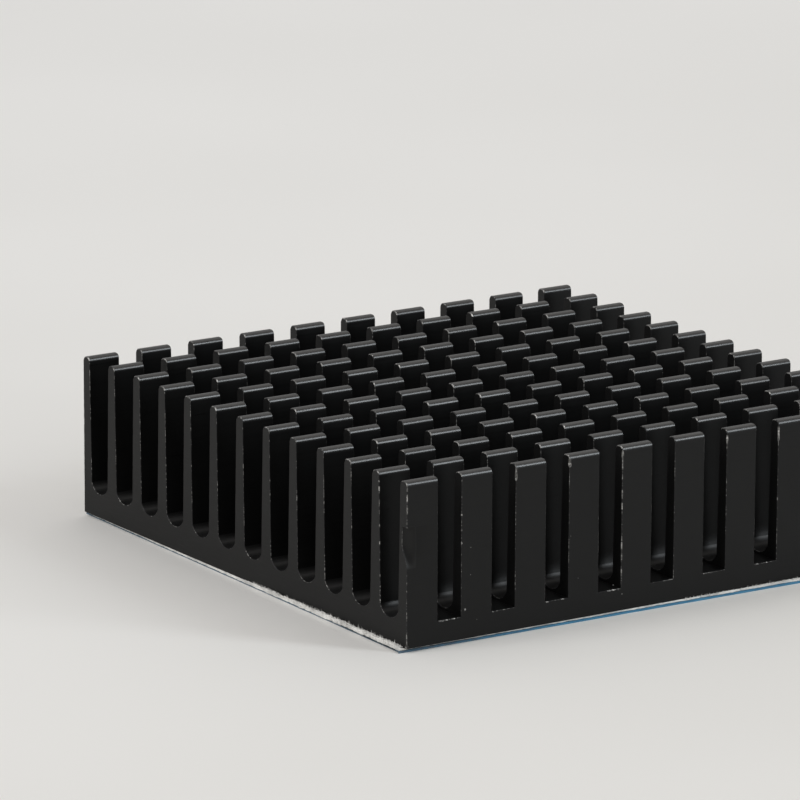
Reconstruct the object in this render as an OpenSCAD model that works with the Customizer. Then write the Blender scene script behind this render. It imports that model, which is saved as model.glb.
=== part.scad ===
// Pin fin heat sink for a chip package: a black anodised aluminium extrusion
// whose straight fins are gang sawn across into a field of flat pins. A square
// of thermal tape is stuck under the base and still carries its release liner.
//
// Z is up, the fins run along Y, and the origin is at the middle of the
// underside of the release liner, on which the part rests.

/* [Body] */
// Width across the fins, along X
body_w = 40; // [30:0.5:60]
// Depth along the fins, along Y
body_d = 40; // [30:0.5:60]
// Height from the underside of the base to the fin tips
body_h = 11; // [8:0.5:18]
// Base left under the round floor of each channel
base_t = 1.7; // [1.2:0.1:2.6]

/* [Fins] */
// Number of fins in the extrusion
fins = 13; // [9:1:15]
// Thickness of a fin at its tip
tip_t = 0.8; // [0.7:0.05:1]
// Share of the fin spacing taken by the round channel floor
floor_share = 0.62; // [0.56:0.01:0.66]
// Radius of the two shoulders of each fin tip
tip_r = 0.3; // [0.15:0.05:0.34]

/* [Saw cuts] */
// Number of saw cuts across the fins
cuts = 9; // [5:1:10]
// Width of each saw cut
cut_w = 1.82; // [1.2:0.02:2.2]
// How much deeper the saw goes than the channel floors
cut_extra = 0.16; // [0.05:0.01:0.3]

/* [Tape] */
// How far the tape stops short of the edge of the base all round
tape_margin = 0; // [0:0.1:2]
// Thickness of the tape
tape_t = 0.2; // [0.1:0.05:0.5]
// Thickness of the release liner
liner_t = 0.1; // [0.05:0.05:0.2]
// How far the liner stands out past the tape all round
liner_lip = 0.1; // [0:0.05:0.4]
// How many degrees the tape was stuck on out of square
tape_skew = 0.9; // [0:0.1:2]

/* [Hidden] */
$fn = 48;
eps = 0.5;
fin_pitch = (body_w - tip_t) / (fins - 1);
pin_pitch = (body_d + cut_w) / (cuts + 1);
floor_r = fin_pitch * floor_share / 2;
mouth_w = fin_pitch - tip_t;
floor_z = base_t + floor_r;
base_z = liner_t + tape_t;

// One channel between two fins: a round floor, flanks that open towards the
// tips, and the rounded shoulders of the fins on both sides
module channel() {
    translate([0, floor_z]) circle(r = floor_r);
    polygon([[-floor_r, floor_z], [floor_r, floor_z],
             [mouth_w / 2, body_h - tip_r], [mouth_w / 2, body_h + eps],
             [-mouth_w / 2, body_h + eps], [-mouth_w / 2, body_h - tip_r]]);
}

// What is taken off one corner of a fin tip to leave a shoulder of radius tip_r;
// the corner is at the origin and the fin is on the -X side of it
module shoulder() {
    difference() {
        translate([-tip_r, -tip_r]) square(tip_r + eps);
        translate([-tip_r, -tip_r]) circle(r = tip_r);
    }
}

// Cross section of the extrusion, drawn in X and Y and stood up later
module profile() {
    difference() {
        translate([-body_w / 2, 0]) square([body_w, body_h]);
        for (i = [1 : fins - 1])
            translate([(i - fins / 2) * fin_pitch, 0]) channel();
        for (i = [0 : fins - 1]) {
            x = (i - (fins - 1) / 2) * fin_pitch;
            translate([x + tip_t / 2, body_h]) shoulder();
            translate([x - tip_t / 2, body_h]) mirror([1, 0]) shoulder();
        }
    }
}

// One pass of the saw, square bottomed, right across the fins
module saw_cut() {
    translate([-body_w / 2 - eps, -cut_w / 2, base_t - cut_extra])
        cube([body_w + 2 * eps, cut_w, body_h]);
}

// A sheet with the outline of the base, less a margin all round, stuck on
// slightly out of square
module sheet(margin, thickness) {
    rotate([0, 0, -tape_skew])
        translate([margin - body_w / 2, margin - body_d / 2, 0])
            cube([body_w - 2 * margin, body_d - 2 * margin, thickness]);
}

// The extrusion after sawing: fins * (cuts + 1) pins on one base
module heat_sink() {
    color("#26262a") translate([0, 0, base_z]) difference() {
        translate([0, body_d / 2, 0]) rotate([90, 0, 0])
            linear_extrude(height = body_d) profile();
        for (j = [1 : cuts])
            translate([0, (j - (cuts + 1) / 2) * pin_pitch, 0]) saw_cut();
    }
}

// Adhesive tape between the base and the liner
module thermal_tape() {
    color("#d9d6cf") translate([0, 0, liner_t]) sheet(tape_margin, tape_t);
}

// Thin film that protects the adhesive until the part is fitted
module release_liner() {
    color("#3f6ea8") sheet(tape_margin - liner_lip, liner_t);
}

heat_sink();
thermal_tape();
release_liner();
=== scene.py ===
"""Dressing and scene for the pin fin heat sink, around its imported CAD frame."""
import math

import bpy
from mathutils import Matrix, Vector, noise


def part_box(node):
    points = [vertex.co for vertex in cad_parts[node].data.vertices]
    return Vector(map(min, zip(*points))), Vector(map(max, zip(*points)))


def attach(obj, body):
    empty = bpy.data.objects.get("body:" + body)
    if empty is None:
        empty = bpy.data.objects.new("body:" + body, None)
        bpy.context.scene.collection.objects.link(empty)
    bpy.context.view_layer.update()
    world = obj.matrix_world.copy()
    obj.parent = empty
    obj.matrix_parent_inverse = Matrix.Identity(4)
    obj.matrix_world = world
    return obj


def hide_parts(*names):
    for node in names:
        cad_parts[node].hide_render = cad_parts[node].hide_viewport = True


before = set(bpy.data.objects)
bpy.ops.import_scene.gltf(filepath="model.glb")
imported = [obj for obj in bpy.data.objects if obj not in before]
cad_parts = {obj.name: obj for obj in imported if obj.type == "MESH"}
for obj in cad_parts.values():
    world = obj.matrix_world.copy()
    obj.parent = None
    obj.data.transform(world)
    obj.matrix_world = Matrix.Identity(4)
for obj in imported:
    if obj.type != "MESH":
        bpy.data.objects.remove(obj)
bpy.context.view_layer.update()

MM = 0.001

# -------------------------------------------------- dimensions, in millimetres

SINK_LO, SINK_HI = (Vector(corner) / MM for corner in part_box("heat_sink"))
TAPE_LO, TAPE_HI = (Vector(corner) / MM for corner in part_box("thermal_tape"))
LINER_LO, LINER_HI = (Vector(corner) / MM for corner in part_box("release_liner"))

HALF_X, HALF_Y = SINK_HI.x, SINK_HI.y       # half the block
BASE_Z, TOP_Z = SINK_LO.z, SINK_HI.z        # underside of the base and top of the fins
FINS, PINS = 13, 10                         # fins across X, pins along each fin
TIP = 0.8                                   # fin thickness at its tip
SHOULDER = 0.3                              # radius of the tip's shoulders
CUT = 1.82                                  # width of a saw cut
FIN_PITCH = (2 * HALF_X - TIP) / (FINS - 1)
PIN_PITCH = (2 * HALF_Y + CUT) / PINS

FLOOR_W = FIN_PITCH * 0.31 + 0.03           # half width of a channel's arched floor
FLOOR_H = 0.64                              # height of that arc
FLOOR_R = (FLOOR_W ** 2 + FLOOR_H ** 2) / 2 / FLOOR_H
CHANNEL_Z = BASE_Z + 1.65                   # lowest line of a channel
ARC_Z = CHANNEL_Z + FLOOR_H                 # where the flanks start
SLOT_Z = CHANNEL_Z - 0.16                   # floor of a saw cut

LINER_TOP = LINER_HI.z + 0.04               # the film has sprung up a little at its edge
FRONT_THIN = 0.07                           # the film lies flatter under the -Y side
TURN = math.radians(-0.9)                   # how far the tape is out of square

# How finely curves and worn edges are drawn: numbers of steps, and spacings
CLOSE_STEPS, PLAIN_STEPS = 84, 10           # up a flank, on the first fin and row and elsewhere
TIP_STEPS = 5                               # round each shoulder of a tip
FLOOR_STEPS = 12                            # across a channel's floor
FOOT_STEPS = 24                             # from the underside to a saw cut's floor
BRIDGE_STEPS = 7                            # from there to where the flanks start
MOUTH_STEPS = 20                            # along the mouth of a saw cut
DENT_STEPS = 12                             # along the skin, out of the dent
TAPE_STEP, FIBRE_STEP = 0.08, 0.06          # spacing round the tape's rim
LINER_STEP = 0.4                            # spacing round the liner's rim

# Material slots of the heat sink
SKIN, SAWN, EDGE, BARE, KNOCKED, FLOOR, FLANK, RUBBED = range(8)


def smooth_noise(x, y, z, scale=1.0):
    """Smooth noise from -1 to 1 at a point in millimetres."""
    return noise.noise(Vector((x, y, z)) * scale + Vector((3.7, 9.1, 5.3)))


# -------------------------------------------------------------- material nodes

class Nodes:
    """A small builder for one material's node tree, with its lengths in millimetres."""

    def __init__(self, name):
        self.material = bpy.data.materials.new(name)
        self.material.use_nodes = True
        self.tree = self.material.node_tree
        self.shader = self.tree.nodes["Principled BSDF"]
        self.place = self.tree.nodes.new("ShaderNodeTexCoord").outputs["Object"]

    def add(self, kind, values=None, **settings):
        """Adds a node with the given settings and constant inputs."""
        node = self.tree.nodes.new(kind)
        for key, value in settings.items():
            setattr(node, key, value)
        for key, value in (values or {}).items():
            node.inputs[key].default_value = value
        return node

    def link(self, source, node, socket):
        self.tree.links.new(source, node.inputs[socket])

    def feed(self, value, node, socket):
        """Gives an input a number, a colour or another node's output."""
        if isinstance(value, (int, float)):
            node.inputs[socket].default_value = value
        elif isinstance(value, tuple):
            node.inputs[socket].default_value = (*value, 1)
        else:
            self.link(value, node, socket)

    def scaled(self, x, y=None, z=None):
        """Object coordinates stretched so that one unit is 1/x mm."""
        y, z = (x if y is None else y), (x if z is None else z)
        node = self.add("ShaderNodeMapping", {"Scale": (x / MM, y / MM, z / MM)})
        self.link(self.place, node, "Vector")
        return node.outputs["Vector"]

    def noise(self, place, detail=4.0, roughness=0.55):
        values = {"Scale": 1.0, "Detail": detail, "Roughness": roughness}
        node = self.add("ShaderNodeTexNoise", values)
        self.link(place, node, "Vector")
        return node.outputs["Fac"]

    def ramp(self, source, stops):
        """Colour ramp: stops are (position, colour) with colour a number or a triple."""
        node = self.add("ShaderNodeValToRGB")
        band = node.color_ramp
        while len(band.elements) < len(stops):
            band.elements.new(0.5)
        for element, (position, colour) in zip(band.elements, stops):
            element.position = position
            triple = (colour,) * 3 if isinstance(colour, (int, float)) else colour
            element.color = (*triple, 1)
        self.link(source, node, "Fac")
        return node.outputs["Color"]

    def span(self, source, low, high, start=0.3, end=0.7):
        """Maps a noise value from start..end to low..high."""
        values = {"From Min": start, "From Max": end, "To Min": low, "To Max": high}
        node = self.add("ShaderNodeMapRange", values)
        self.link(source, node, "Value")
        return node.outputs["Result"]

    def rise(self, low, high, axis):
        """Goes from 0 at low to 1 at high along an axis."""
        split = self.add("ShaderNodeSeparateXYZ")
        self.link(self.place, split, "Vector")
        return self.span(split.outputs[axis], 0, 1, low * MM, high * MM)

    def mix(self, factor, first, second):
        """Mixes two colours."""
        node = self.add("ShaderNodeMix", data_type="RGBA")
        self.link(factor, node, "Factor")
        self.feed(first, node, 6)
        self.feed(second, node, 7)
        return node.outputs[2]

    def math(self, operation, first, second):
        node = self.add("ShaderNodeMath", operation=operation)
        self.feed(first, node, 0)
        self.feed(second, node, 1)
        return node.outputs[0]

    def weigh(self, first, share, second, other_share):
        """Adds two values, each times its own share."""
        weighed = self.math("MULTIPLY", first, share)
        return self.math("ADD", weighed, self.math("MULTIPLY", second, other_share))

    def bump(self, height, strength, distance):
        node = self.add("ShaderNodeBump", {"Strength": strength, "Distance": distance * MM})
        self.link(height, node, "Height")
        return node.outputs["Normal"]

    def finish(self, colour, roughness, normal, specular=0.5, metallic=0.0):
        """Joins the tree to the shader and gives the material."""
        self.link(colour, self.shader, "Base Color")
        self.link(roughness, self.shader, "Roughness")
        self.link(normal, self.shader, "Normal")
        self.shader.inputs["Specular IOR Level"].default_value = specular
        self.shader.inputs["Metallic"].default_value = metallic
        return self.material


def anodised(name, dark, pale, roughness, grain, specular):
    """Black anodised aluminium. grain is the scale of its fine lines along X, Y and Z."""
    nodes = Nodes(name)
    cloud = nodes.noise(nodes.scaled(0.35), detail=3)
    lines = nodes.noise(nodes.scaled(*grain), detail=3)
    fine = nodes.noise(nodes.scaled(9), detail=2)
    colour = nodes.ramp(nodes.weigh(cloud, 0.6, lines, 0.4), [(0.3, dark), (0.7, pale)])
    rough = nodes.span(nodes.weigh(lines, 1.0, fine, 0.4), roughness - 0.05, roughness + 0.07)
    normal = nodes.bump(nodes.weigh(lines, 0.6, fine, 0.4), 0.35, 0.01)
    return nodes.finish(colour, rough, normal, specular)


def worn_edge():
    """Edge left by the saw: black, with the metal showing through in dots and dashes."""
    nodes = Nodes("worn_edge")
    patches = nodes.noise(nodes.scaled(0.45), detail=2)
    dots = nodes.noise(nodes.scaled(5.5), detail=2, roughness=0.6)
    bare = nodes.ramp(nodes.weigh(dots, 0.7, patches, 0.5), [(0.62, 0.0), (0.72, 1.0)])
    colour = nodes.mix(bare, (0.012, 0.012, 0.013), (0.26, 0.255, 0.245))
    return nodes.finish(colour, nodes.span(dots, 0.45, 0.6), nodes.bump(dots, 0.4, 0.02), specular=0.25)


def bare_metal():
    """Aluminium laid bare where an edge was nicked or burred."""
    nodes = Nodes("bare_aluminium")
    grain = nodes.noise(nodes.scaled(9), detail=3)
    patches = nodes.noise(nodes.scaled(2.6), detail=2)
    tones = [(0.38, (0.03, 0.03, 0.03)), (0.5, (0.15, 0.147, 0.142)), (0.62, (0.50, 0.49, 0.475))]
    colour = nodes.ramp(nodes.weigh(grain, 0.4, patches, 0.6), tones)
    return nodes.finish(colour, nodes.span(grain, 0.35, 0.6), nodes.bump(grain, 0.6, 0.02), metallic=0.6)


def tape_fibre():
    """Off-white fibrous tape: matted threads, a little soiled at the edge."""
    nodes = Nodes("tape_fibre")
    mat = nodes.noise(nodes.scaled(3, 3, 9), detail=5, roughness=0.7)
    soil = nodes.noise(nodes.scaled(0.6), detail=4)
    tones = [(0.3, (0.45, 0.44, 0.41)), (0.42, (0.80, 0.79, 0.76)), (0.6, (0.92, 0.91, 0.88))]
    grey = nodes.ramp(soil, [(0.35, 1.0), (0.6, 0.0)])
    colour = nodes.mix(nodes.math("MULTIPLY", grey, 0.45), nodes.ramp(mat, tones), (0.25, 0.25, 0.25))
    return nodes.finish(colour, nodes.span(mat, 0.75, 0.95), nodes.bump(mat, 0.8, 0.08), specular=0.25)


def liner_film():
    """Thin blue film, slightly cloudy and scuffed, with painted shade that darkens it to slate towards its
    -Y side.
    """
    nodes = Nodes("liner_film")
    cloud = nodes.noise(nodes.scaled(0.5), detail=4)
    scuff = nodes.noise(nodes.scaled(0.8, 6, 6), detail=3)
    blotch = nodes.noise(nodes.scaled(1.6), detail=3)
    colour = nodes.ramp(cloud, [(0.3, (0.030, 0.15, 0.27)), (0.7, (0.055, 0.24, 0.40))])
    # Painted shade: towards -Y the blue is mixed to dark slate, standing for the shadow under the base's
    # edge.
    unshaded_share = nodes.math("ADD", nodes.rise(-20.5, -7.0, "Y"), nodes.span(blotch, -0.3, 0.3))
    painted_shade = nodes.ramp(unshaded_share, [(0.15, 1.0), (0.8, 0.0)])
    colour = nodes.mix(nodes.math("MULTIPLY", painted_shade, 0.85), colour, (0.065, 0.100, 0.135))
    return nodes.finish(colour, nodes.span(scuff, 0.3, 0.5), nodes.bump(scuff, 0.3, 0.02))


def floor_paint():
    """Pale matt surface, with painted light that makes it a little brighter far behind the part."""
    nodes = Nodes("pale_floor_painted_light")
    cloud = nodes.noise(nodes.scaled(0.012), detail=2)
    grain = nodes.noise(nodes.scaled(1.5), detail=3)
    colour = nodes.ramp(cloud, [(0.3, (0.78, 0.765, 0.735)), (0.7, (0.82, 0.805, 0.78))])
    # Painted light: the colour brightens towards -X, far behind the part.
    far = nodes.span(nodes.weigh(nodes.rise(60, -330, "X"), 1.0, cloud, 0.1), 0, 1, 0.05, 1.05)
    colour = nodes.mix(far, colour, (0.97, 0.965, 0.955))
    return nodes.finish(colour, nodes.span(cloud, 0.55, 0.7), nodes.bump(grain, 0.05, 0.05), specular=0.3)


# ------------------------------------------------------------------ mesh tools

class Shape:
    """Collects faces by their corner points in millimetres and welds them.

    Corners go round a face anticlockwise as seen from outside.
    """

    def __init__(self):
        self.index, self.points, self.faces, self.slots = {}, [], [], []

    def vertex(self, point):
        key = tuple(round(value, 5) for value in point)
        if key not in self.index:
            self.index[key] = len(self.points)
            self.points.append(key)
        return self.index[key]

    def face(self, corners, slot=0):
        """Adds a face, unless fewer than three of its corners differ."""
        ids = list(dict.fromkeys(self.vertex(corner) for corner in corners))
        if len(ids) > 2:
            self.faces.append(ids)
            self.slots.append(slot)

    def strip(self, first, second, slot=0, turn=False):
        """Quads between two rows of points, which turn swaps so that they face the other way.

        slot is a number or a function of the index.
        """
        if turn:
            first, second = second, first
        for k in range(len(first) - 1):
            chosen = slot(k) if callable(slot) else slot
            self.face([first[k], first[k + 1], second[k + 1], second[k]], chosen)

    def build(self, name, materials):
        mesh = bpy.data.meshes.new(name)
        mesh.from_pydata([[value * MM for value in point] for point in self.points], [], self.faces)
        for material in materials:
            mesh.materials.append(material)
        mesh.polygons.foreach_set("material_index", self.slots)
        mesh.validate()
        mesh.shade_smooth()
        mesh.set_sharp_from_angle(angle=math.radians(32))
        piece = bpy.data.objects.new(name, mesh)
        bpy.context.scene.collection.objects.link(piece)
        return piece


def spans(low, high, count):
    """Splits low..high into count equal steps."""
    return [low + (high - low) * k / count for k in range(count + 1)]


# ----------------------------------------------------------- heat sink: layout

def fin_x(i):
    """Middle of fin i. Fin 0 is at +X, the near side."""
    return ((FINS - 1) / 2 - i) * FIN_PITCH


def is_outside(i, side):
    """True for the skins of the first and last fin that face away from the others."""
    return (i == 0 and side > 0) or (i == FINS - 1 and side < 0)


def is_whole(j, end):
    """True at the two ends of the extrusion, which are sawn right down to the base."""
    return (j == 0 and end < 0) or (j == PINS - 1 and end > 0)


def pin_ends(j):
    """Y of a pin's two sawn ends."""
    low = -HALF_Y + j * PIN_PITCH
    return low, low + PIN_PITCH - CUT


def flank_x(i, side, z):
    """X of a fin's flank at height z. side is +1 towards +X and -1 towards -X."""
    if is_outside(i, side):
        return side * HALF_X
    root, tip = FIN_PITCH / 2 - FLOOR_W, TIP / 2
    share = min(max((z - ARC_Z) / (TOP_Z - SHOULDER - ARC_Z), 0), 1)
    return fin_x(i) + side * (root + (tip - root) * share)


# ------------------------------------------------------------- heat sink: wear

# Nicks on the sawn edges of the +X face: pin, end of the pin (-1 near, +1 far),
# height from and to above the base, and width
NICKS = [
    (0, -1, 8.1, 10.9, 0.055), (0, -1, 0.0, 2.2, 0.05), (0, -1, 0.0, 0.2, 0.14),
    (0, -1, 10.3, 10.6, 0.09), (1, -1, 8.15, 8.35, 0.07), (1, -1, 7.1, 7.3, 0.06),
    (1, -1, 6.3, 6.45, 0.07), (2, -1, 9.9, 11.0, 0.12), (3, -1, 10.2, 11.0, 0.15),
    (3, 1, 3.0, 10.7, 0.045), (4, -1, 1.8, 10.8, 0.055), (4, -1, 10.2, 10.7, 0.1),
    (6, -1, 9.6, 10.6, 0.08), (7, -1, 9.6, 10.6, 0.08), (7, -1, 5.0, 6.0, 0.06),
]
# Specks on the +X face: place along Y, height above the base and size
SPECKS = [
    (-15.1, 6.0, 0.035), (-15.1, 4.2, 0.03), (-15.5, 1.95, 0.075), (-14.6, 1.15, 0.035),
    (-7.3, 5.6, 0.03), (-6.7, 2.7, 0.035), (-3.9, 1.8, 0.04), (-3.5, 1.4, 0.035), (-3.2, 1.1, 0.04),
]
# Upright edges with wear of their own, as fin, pin, side and end
KNOCKED_EDGE = (0, 0, 1, -1)
TORN_EDGE = (1, 0, 1, -1)

# The dent in the knocked edge
DENT_LOW, DENT_TOP = 5.15, 8.0              # heights above the base
DENT_DEPTH = 0.54
DENT_RISE = 1.7                             # height over which it deepens from its foot
DENT_REACH = 0.7                            # how far it runs along the skin

# Widths of the broken edges
CLEAN_EDGE = 0.022                          # left clean by the saw
DENT_EDGE = 0.012                           # inside the dent
TORN_TIP = 0.05                             # round a tip, where the saw came in
BARE_FROM = 0.0475                          # an edge wider than this is bare metal


def edge_width(i, j, side, end, z):
    """Width of the broken edge between a fin's skin and its sawn end at height z."""
    if z <= SLOT_Z and not is_whole(j, end):
        return 0.0
    if (i, j, side, end) == KNOCKED_EDGE and dent_depth(z) > 0:
        return DENT_EDGE
    x, y = flank_x(i, side, z), pin_ends(j)[end > 0]
    width = CLEAN_EDGE + 0.012 * smooth_noise(x * 3, y * 3, z, 2.6)
    if (i == 0 and side > 0) or (j == 0 and end < 0):
        spot = smooth_noise(x * 2, y * 2, z, 0.9) + 0.55 * smooth_noise(x, y, z, 5.0)
        width += 0.06 * max(spot - 0.42, 0)
    if (i, j, side, end) == TORN_EDGE:
        width += 0.05 * abs(smooth_noise(x, y, z, 2.2))
    if i == 0 and side > 0:
        height = z - BASE_Z
        for pin, at, low, high, wide in NICKS:
            if pin == j and at == end and low < height < high:
                width = max(width, wide * (0.85 + 0.6 * smooth_noise(pin * 7, at, z, 2.0)))
    return width


def tip_edge_width(j, end, x, z):
    """Width of the broken edge round a fin's tip, more torn where the saw came in."""
    torn = smooth_noise(x * 4, j * 3.1, z, 2.0)
    return TORN_TIP + 0.02 * torn if end < 0 else CLEAN_EDGE + 0.01 * torn


def cut_burr(side, j, y):
    """Width of the torn edge along the mouth of a saw cut."""
    torn = smooth_noise(side * 5, y, j, 1.7) + 0.6 * smooth_noise(side * 5, y, j, 5.0)
    return 0.025 + 0.09 * max(torn - 0.06, 0)


def edge_slot(widths):
    """Chooses bare metal where a broken edge is wide, for the strip between two rows."""
    return lambda k: BARE if (widths[k] + widths[k + 1]) / 2 > BARE_FROM else EDGE


def dent_depth(z):
    """How far the knocked edge of the nearest pin is set back at height z."""
    height = z - BASE_Z
    if not DENT_LOW < height < DENT_TOP:
        return 0.0
    rise = min((height - DENT_LOW) / DENT_RISE, 1)
    return DENT_DEPTH * (1 + 0.08 * smooth_noise(1, 1, z, 0.8)) * rise * rise * (3 - 2 * rise)


# ------------------------------------------------------------- heat sink: pins

def shoulder_centre(i, side):
    """X and Z of the middle of a tip's round shoulder."""
    return fin_x(i) + side * (TIP / 2 - SHOULDER), TOP_Z - SHOULDER


def foot_count(i, side):
    """How many points of a fin's side lie below the flanks. Only outer skins go so low."""
    return FOOT_STEPS + BRIDGE_STEPS if is_outside(i, side) else 0


def fin_side(i, j, side):
    """One side of a fin's outline from its foot to the flat of its tip, as (x, z, kind)."""
    levels = spans(ARC_Z, TOP_Z - SHOULDER, CLOSE_STEPS if i == 0 or j == 0 else PLAIN_STEPS)
    if is_outside(i, side):
        levels = spans(SLOT_Z, ARC_Z, BRIDGE_STEPS)[1:-1] + levels
        levels = spans(BASE_Z, SLOT_Z, FOOT_STEPS) + levels
    if (i, j) == KNOCKED_EDGE[:2]:
        levels = sorted(levels + [BASE_Z + DENT_TOP - 0.01, BASE_Z + DENT_TOP])
    flank = [(flank_x(i, side, z), z, "flank") for z in levels]
    x, z = shoulder_centre(i, side)
    turns = [math.pi / 2 * k / TIP_STEPS for k in range(1, TIP_STEPS + 1)]
    tip = [(x + side * SHOULDER * math.cos(turn), z + SHOULDER * math.sin(turn), "tip") for turn in turns]
    return flank + tip


def drawn_in(i, side, point, width):
    """A point of the outline moved into the metal by width."""
    x, z, kind = point
    if kind == "flank":
        return x - side * width, z
    centre = Vector(shoulder_centre(i, side))
    moved = centre + (Vector((x, z)) - centre) * (1 - width / SHOULDER)
    return moved.x, moved.y


def end_rows(i, j, side, end):
    """Rows up one side of a pin's sawn end: rim of the end, edge of the skin, width between."""
    y = pin_ends(j)[end > 0]
    rim, skin, widths = [], [], []
    for point in fin_side(i, j, side):
        x, z, kind = point
        width = tip_edge_width(j, end, x, z) if kind == "tip" else edge_width(i, j, side, end, z)
        back = dent_depth(z) if (i, j, side, end) == KNOCKED_EDGE else 0.0
        rim_x, rim_z = drawn_in(i, side, point, width)
        rim.append((rim_x - back, y, rim_z))
        skin.append((x - back, y - end * width, z))
        widths.append(width)
    return rim, skin, widths


def add_pin_end(shape, i, j, end):
    """A sawn end of a pin and the broken edge round it.

    Gives the row of points where the skin ends, and those where the end meets the base.
    """
    rim, skin, widths, start, feet = {}, {}, {}, {}, {}
    for side in (1, -1):
        rim[side], skin[side], widths[side] = end_rows(i, j, side, end)
        feet[side] = foot_count(i, side)
        start[side] = FOOT_STEPS if feet[side] and not is_whole(j, end) else 0
    worn = [rows[1][start[1]:] + rows[-1][start[-1]:][::-1] for rows in (rim, skin, widths)]
    shape.strip(worn[0], worn[1], edge_slot(worn[2]), end < 0)
    shape.strip(rim[1][feet[1]:], rim[-1][feet[-1]:], SAWN, end > 0)
    foot = rim[1][start[1]:feet[1] + 1] + rim[-1][start[-1]:feet[-1] + 1][::-1]
    return skin[1] + skin[-1][::-1], foot


def add_pin(shape, i, j):
    """One pin. Gives the points where each of its ends meets the base."""
    near, near_foot = add_pin_end(shape, i, j, -1)
    far, far_foot = add_pin_end(shape, i, j, 1)
    # The skin's rows run up the +X side, over the tip and down the -X side
    tip_start = len(fin_side(i, j, 1)) - TIP_STEPS

    def slot(k):
        if tip_start <= k < tip_start + 2 * TIP_STEPS - 1:
            return RUBBED
        return SKIN if is_outside(i, 1 if k < tip_start else -1) else FLANK

    if (i, j) == KNOCKED_EDGE[:2]:
        add_dented_skin(shape, near, far, tip_start, slot)
    else:
        shape.strip(far, near, slot)
    return {-1: near_foot, 1: far_foot}


def add_dented_skin(shape, near, far, flank_count, slot):
    """Skin of the nearest pin. Its outer flank comes out of the dent in a few rows."""
    margin = 0.2
    flank = [k for k in range(flank_count) if DENT_LOW - margin < near[k][2] - BASE_Z < DENT_TOP + margin]
    low, top = flank[0], flank[-1]
    depth = [dent_depth(near[k][2]) for k in flank]
    previous = [near[k] for k in flank]
    under, over = [], []
    for step in range(1, DENT_STEPS + 1):
        y = pin_ends(0)[0] + DENT_REACH * step / DENT_STEPS
        share = 0.5 + 0.5 * math.cos(math.pi * step / DENT_STEPS)
        row = [(HALF_X - deep * share, y, near[k][2]) for k, deep in zip(flank, depth)]
        shape.strip(row, previous, lambda k: KNOCKED if depth[k] + depth[k + 1] > 0.02 else SKIN)
        previous = row
        under.append(row[0])
        over.append(row[-1])
    shape.strip([far[k] for k in flank], previous, SKIN)
    shape.strip(far[:low], near[:low], SKIN)
    shape.face([far[low - 1], far[low], *under[::-1], near[low], near[low - 1]], SKIN)
    shape.face([far[top], far[top + 1], near[top + 1], near[top], *over], SKIN)
    shape.strip(far[top + 1:], near[top + 1:], lambda k: slot(k + top + 1))


# ------------------------------------------------------------- heat sink: base

def floor_arc(k, j, end):
    """Arc of the channel after fin k at a sawn end: rim of the end, edge of the floor, width between."""
    y = pin_ends(j)[end > 0]
    middle = (fin_x(k) + fin_x(k + 1)) / 2
    first = edge_width(k, j, -1, end, ARC_Z)
    last = edge_width(k + 1, j, 1, end, ARC_Z)
    swing = math.asin(FLOOR_W / FLOOR_R)
    rim, floor, widths = [], [], []
    for step in range(FLOOR_STEPS + 1):
        share = step / FLOOR_STEPS
        wide = first + (last - first) * share
        if j == 0 and end < 0:
            burr = smooth_noise(middle, step * 0.4, k, 2.3) - 0.12
            wide += 0.09 * math.sin(math.pi * share) * max(burr, 0)
        turn = swing * (1 - 2 * share)
        x, z = middle + FLOOR_R * math.sin(turn), CHANNEL_Z + FLOOR_R - FLOOR_R * math.cos(turn)
        if 0 < step < FLOOR_STEPS:
            rim.append((x + wide * math.sin(turn), y, z - wide * math.cos(turn)))
        else:
            rim.append((x + wide * (1 - 2 * share), y, z))
        floor.append((x, y - end * wide, z))
        widths.append(wide)
    return rim, floor, widths


def add_base(shape, j, feet):
    """Channel floors under one row of pins, and the sawn ends of the base below them."""
    floors = {-1: [], 1: []}
    for end, y in zip((-1, 1), pin_ends(j)):
        outline = list(feet[0][end])
        for k in range(FINS - 1):
            rim, floor, widths = floor_arc(k, j, end)
            shape.strip(rim, floor, edge_slot(widths), end < 0)
            floors[end].append(floor)
            outline += rim[1:-1] + feet[k + 1][end]
        if not is_whole(j, end):
            outline = [(HALF_X, y, SLOT_Z)] + outline + [(-HALF_X, y, SLOT_Z)]
        shape.face(outline if end < 0 else outline[::-1], SAWN)
    for near, far in zip(floors[-1], floors[1]):
        shape.strip(far, near, FLOOR)


def add_saw_cut(shape, j):
    """Floor of the saw cut after pin j, and the low walls at its two mouths."""
    low, high = pin_ends(j)[1], pin_ends(j + 1)[0]
    ys = spans(low, high, MOUTH_STEPS)
    levels = spans(BASE_Z, SLOT_Z, FOOT_STEPS)[:-1]
    rims = {}
    for side in (1, -1):
        widths = [0.0] + [cut_burr(side, j, y) for y in ys[1:-1]] + [0.0]
        rims[side] = [(side * (HALF_X - width), y, SLOT_Z) for width, y in zip(widths, ys)]
        wall = [(side * HALF_X, y, SLOT_Z - width) for width, y in zip(widths, ys)]
        shape.strip(rims[side], wall, edge_slot(widths), side > 0)
        rising = [(side * HALF_X, high, z) for z in levels]
        falling = [(side * HALF_X, low, z) for z in levels[::-1]]
        outline = rising + wall[::-1] + falling
        shape.face(outline if side > 0 else outline[::-1], SKIN)
    shape.strip(rims[1], rims[-1], SAWN)


def add_underside(shape):
    """Underside, drawn through every point where the sides reach it."""
    rows = {1: [], -1: []}
    for i, side in ((0, 1), (FINS - 1, -1)):
        for j in range(PINS):
            for end, y in zip((-1, 1), pin_ends(j)):
                wide = edge_width(i, j, side, end, BASE_Z)
                points = [(side * (HALF_X - wide), y, BASE_Z), (side * HALF_X, y - end * wide, BASE_Z)]
                rows[side] += points if end < 0 else points[::-1]
    shape.face(rows[-1] + rows[1][::-1], SKIN)


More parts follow.
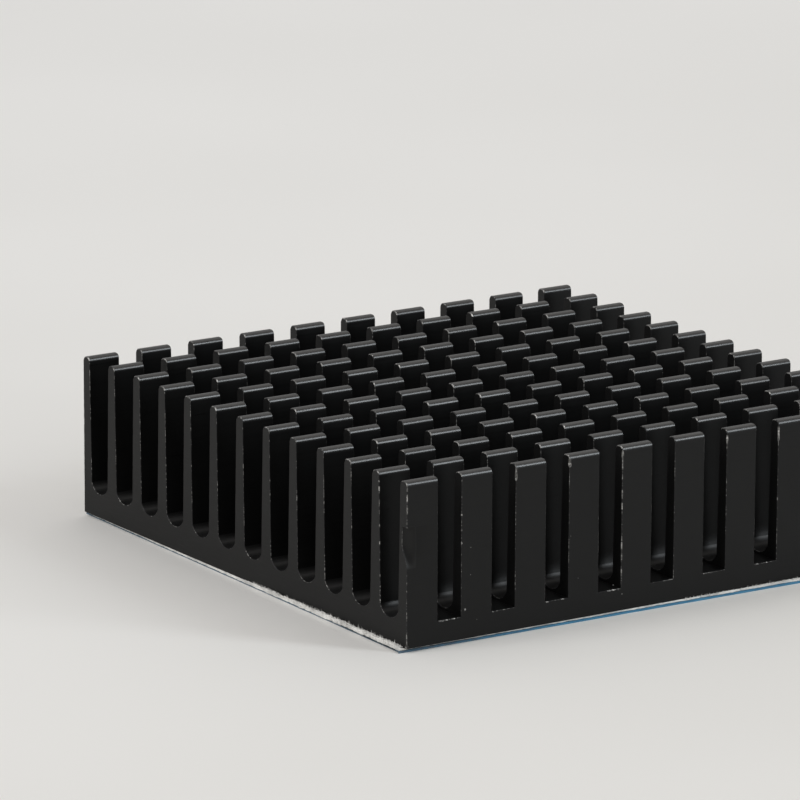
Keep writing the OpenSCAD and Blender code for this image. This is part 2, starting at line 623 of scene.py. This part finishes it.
def add_specks(shape):
    """Small flakes knocked out of the +X face."""
    corners, sunk, proud = 7, 0.004, 0.02
    for y, height, size in SPECKS:
        ring = []
        for k in range(corners):
            turn = math.tau * k / corners
            radius = size * (1 + 0.4 * smooth_noise(y, height, k, 1.3))
            across, up = radius * math.cos(turn), 1.2 * radius * math.sin(turn)
            ring.append((HALF_X - sunk, y + across, BASE_Z + height + up))
        peak = (HALF_X + proud, y, BASE_Z + height)
        shape.face(ring[::-1], BARE)
        shape.strip(ring + ring[:1], [peak] * (corners + 1), BARE)


def dress_heat_sink():
    """The black block of pins, with its wear."""
    along_fins = (8, 0.12, 8)
    # In the order of the material slots
    materials = [
        anodised("anodised_skin", 0.0020, 0.0034, 0.29, along_fins, 0.20),
        anodised("anodised_sawn", 0.0035, 0.0055, 0.42, (0.5, 8, 9), 0.21),
        worn_edge(),
        bare_metal(),
        # The dent: a copy of the skin with a lighter colour and more sheen, painted light that evens out
        # the dent's own shading.
        anodised("anodised_knocked_painted_light", 0.0024, 0.0040, 0.32, (6, 6, 6), 0.26),
        # Channel floors: a lit copy of the skin, whose much lighter colour is painted light.
        anodised("anodised_floor_painted_light", 0.0085, 0.0120, 0.28, along_fins, 0.25),
        # Inner flanks: a copy of the skin with a lighter colour, painted light in their deep shade, and
        # less sheen, painted shade between the fins.
        anodised("anodised_flank_painted_light_and_shade", 0.0045, 0.0065, 0.28, along_fins, 0.12),
        anodised("rubbed_tip", 0.0030, 0.0050, 0.22, along_fins, 0.70),
    ]
    shape = Shape()
    for j in range(PINS):
        feet = [add_pin(shape, i, j) for i in range(FINS)]
        add_base(shape, j, feet)
        if j < PINS - 1:
            add_saw_cut(shape, j)
    add_underside(shape)
    add_specks(shape)
    piece = shape.build("pin_field", materials)
    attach(piece, "root")
    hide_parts("heat_sink")


# -------------------------------------------------------------- tape and liner

def half_side(low, high):
    """Half the side of a turned square sheet, from the box that holds it."""
    return (high.x - low.x) / 2 / (math.cos(TURN) + abs(math.sin(TURN)))


def turned(x, y):
    """A point of a sheet's own square, turned to how it was stuck on."""
    return x * math.cos(TURN) - y * math.sin(TURN), x * math.sin(TURN) + y * math.cos(TURN)


def film_top(out_y):
    """Height of the liner's top at an edge that faces out_y."""
    return LINER_TOP - FRONT_THIN if out_y < 0 else LINER_TOP


def rim_walk(half, step):
    """Points round a square of half side, as (x, y, outward x, outward y)."""
    count = round(2 * half / step)
    walk = []
    for x_out, y_out in ((0, -1), (1, 0), (0, 1), (-1, 0)):
        for k in range(count):
            along = -half + 2 * half * k / count
            walk.append((-y_out * along + x_out * half, x_out * along + y_out * half, x_out, y_out))
    return walk


def closed_rows(shape, rows):
    """Joins rings of points into walls and closes the first and last ring."""
    for first, second in zip(rows, rows[1:]):
        shape.strip(first + first[:1], second + second[:1])
    shape.face(rows[0][::-1])
    shape.face(rows[-1])


def proud_of_base(x, y):
    """How far a point stands outside the base's outline."""
    return max(abs(x) - HALF_X, abs(y) - HALF_Y)


def inset(place, inward):
    """X and Y of a point inward of a place on a sheet's rim."""
    x, y, out_x, out_y = place
    return turned(x - out_x * inward, y - out_y * inward)


def tape_top(x, y, lift):
    """Height of the tape's top: just under the base, and raised by lift where it stands clear."""
    proud = proud_of_base(x, y)
    if proud <= 0:
        return TAPE_HI.z - 0.004
    return TAPE_HI.z + lift * min(proud / 0.12, 1) if proud > 0.02 else TAPE_HI.z


def tape_section(place):
    """Points round the tape's edge at a place on its rim, from underneath to on top."""
    x, y, _, out_y = place
    low = film_top(out_y)
    fray = 0.05 * smooth_noise(x, y, 1.0, 1.1) + 0.05 * smooth_noise(x, y, 2.0, 4.0)
    lift = 0.13 + 0.07 * smooth_noise(x, y, 4.0, 1.3) + 0.10 * smooth_noise(x, y, 5.0, 5.0)
    lift = max(lift, 0) * (1 if out_y < 0 else 0.25)
    # Each pair is how far inward of the rim a point lies and its height or its lift
    under = ((0.6, LINER_TOP), (0.08 - fray, low), (-fray, low + 0.05))
    section = [(*inset(place, inward), z) for inward, z in under]
    for inward, rise in ((-0.02 - fray, lift), (0.06 - fray, lift), (0.7, 0)):
        px, py = inset(place, inward)
        section.append((px, py, tape_top(px, py, rise)))
    return section


def dress_tape():
    """Thermal tape: a fibrous sheet whose cut edge is frayed."""
    half = half_side(TAPE_LO, TAPE_HI)
    sections = [tape_section(place) for place in rim_walk(half, TAPE_STEP)]
    shape = Shape()
    closed_rows(shape, [list(ring) for ring in zip(*sections)])
    add_fibres(shape, half)
    piece = shape.build("tape_sheet", [tape_fibre()])
    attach(piece, "root")
    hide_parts("thermal_tape")


def add_fibres(shape, half):
    """Loose threads that stand up from the frayed edge where it clears the base."""
    for k, (x, y, out_x, out_y) in enumerate(rim_walk(half, FIBRE_STEP)):
        px, py = turned(x, y)
        over = proud_of_base(px, py)
        threshold = -0.1 if out_y < 0 else 0.25
        if over < 0.03 or smooth_noise(k * 0.71, out_x, out_y, 1.9) < threshold:
            continue
        rise = 0.20 + 2.2 * min(over, 0.3) * abs(smooth_noise(k * 0.9, 8.0, out_y, 2.1))
        rise *= 1 if out_y < 0 else 0.6
        lean = 0.4 * smooth_noise(k * 1.3, 4.0, out_x, 1.7) * rise
        outward, sideways = Vector((out_x, out_y, 0)), Vector((-out_y, out_x, 0))
        start = Vector((px, py, TAPE_HI.z - 0.04))
        tip = start + outward * 0.05 + sideways * lean + Vector((0, 0, rise + 0.04))
        base = [start - sideways * 0.04, start + sideways * 0.04, start + outward * 0.04]
        for a, b in ((0, 1), (1, 2), (2, 0)):
            shape.face([base[b], base[a], tip])
        shape.face(base)


def liner_section(place):
    """Points round the liner's edge at a place on its rim, from underneath to on top."""
    x, y, _, out_y = place
    high = film_top(out_y)
    wave = 0.03 * smooth_noise(x, y, 3.0, 0.5) - (0.12 if out_y < 0 else 0.02)
    steps = ((0.05 - wave, LINER_LO.z), (0.03 - wave, high - 0.01), (0.045 - wave, high), (0.5, LINER_TOP))
    return [(*inset(place, inward), z) for inward, z in steps]


def dress_liner():
    """Release liner: a thin film whose edge is nearly straight and slightly curled."""
    half = half_side(LINER_LO, LINER_HI)
    sections = [liner_section(place) for place in rim_walk(half, LINER_STEP)]
    shape = Shape()
    closed_rows(shape, [list(ring) for ring in zip(*sections)])
    piece = shape.build("liner_sheet", [liner_film()])
    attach(piece, "root")
    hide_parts("release_liner")


# ------------------------------------------------- surroundings, in metres

def make_floor():
    """The surface that the part stands on."""
    size = 6.0
    mesh = bpy.data.meshes.new("floor")
    corners = [(-size, -size, 0), (size, -size, 0), (size, size, 0), (-size, size, 0)]
    mesh.from_pydata(corners, [], [(0, 1, 2, 3)])
    mesh.materials.append(floor_paint())
    floor = bpy.data.objects.new("floor", mesh)
    bpy.context.scene.collection.objects.link(floor)


def add_light(name, place, width, height, power, colour=(1, 1, 1)):
    """A soft rectangular light that faces the part, its power in watts."""
    light = bpy.data.lights.new(name, "AREA")
    light.shape, light.size, light.size_y = "RECTANGLE", width, height
    light.energy, light.color = power, colour
    lamp = bpy.data.objects.new(name, light)
    bpy.context.scene.collection.objects.link(lamp)
    lamp.location = place
    lamp.rotation_euler = Vector(place).to_track_quat("Z", "Y").to_euler()


def light_scene():
    """Soft daylight all round, and three lights."""
    world = bpy.data.worlds.new("soft_room")
    world.use_nodes = True
    sky = world.node_tree.nodes["Background"]
    sky.inputs["Color"].default_value = (1.0, 0.99, 0.975, 1)
    sky.inputs["Strength"].default_value = 0.43
    bpy.context.scene.world = world
    add_light("front_box", (0.05, -0.82, 0.66), 0.7, 0.7, 5.4)
    add_light("right_window", (0.58, 0.43, 0.34), 0.15, 0.60, 2.3, (0.90, 0.96, 1.0))
    add_light("ceiling", (-0.15, 0.45, 0.60), 0.8, 0.8, 0.8, (1.0, 0.95, 0.9))
    bpy.context.scene.view_settings.view_transform = "Standard"


def make_camera():
    """Very long lens from above the near corner, as the reference view has it."""
    azimuth, elevation, roll = (math.radians(angle) for angle in (56.495, 14.170, 0.227))
    right = Vector((math.cos(azimuth), math.sin(azimuth), 0))
    back = Vector((
        math.sin(azimuth) * math.cos(elevation),
        -math.cos(azimuth) * math.cos(elevation),
        math.sin(elevation),
    ))
    up = back.cross(right)
    turned_right = right * math.cos(roll) + up * math.sin(roll)
    turned_up = up * math.cos(roll) - right * math.sin(roll)
    near_corner = Vector((HALF_X, -HALF_Y, BASE_Z))
    aside, above, behind = -0.413, 15.895, 425.35    # millimetres from the near corner
    place = near_corner + turned_right * aside + turned_up * above + back * behind
    lens = bpy.data.cameras.new("camera")
    lens.sensor_width, lens.lens = 36, 300.26
    lens.clip_start, lens.clip_end = 0.02, 20
    camera = bpy.data.objects.new("camera", lens)
    turn = Matrix((turned_right, turned_up, back)).transposed()
    camera.matrix_world = Matrix.Translation(place * MM) @ turn.to_4x4()
    bpy.context.scene.collection.objects.link(camera)
    bpy.context.scene.camera = camera


make_camera()
dress_heat_sink()
dress_tape()
dress_liner()
make_floor()
light_scene()
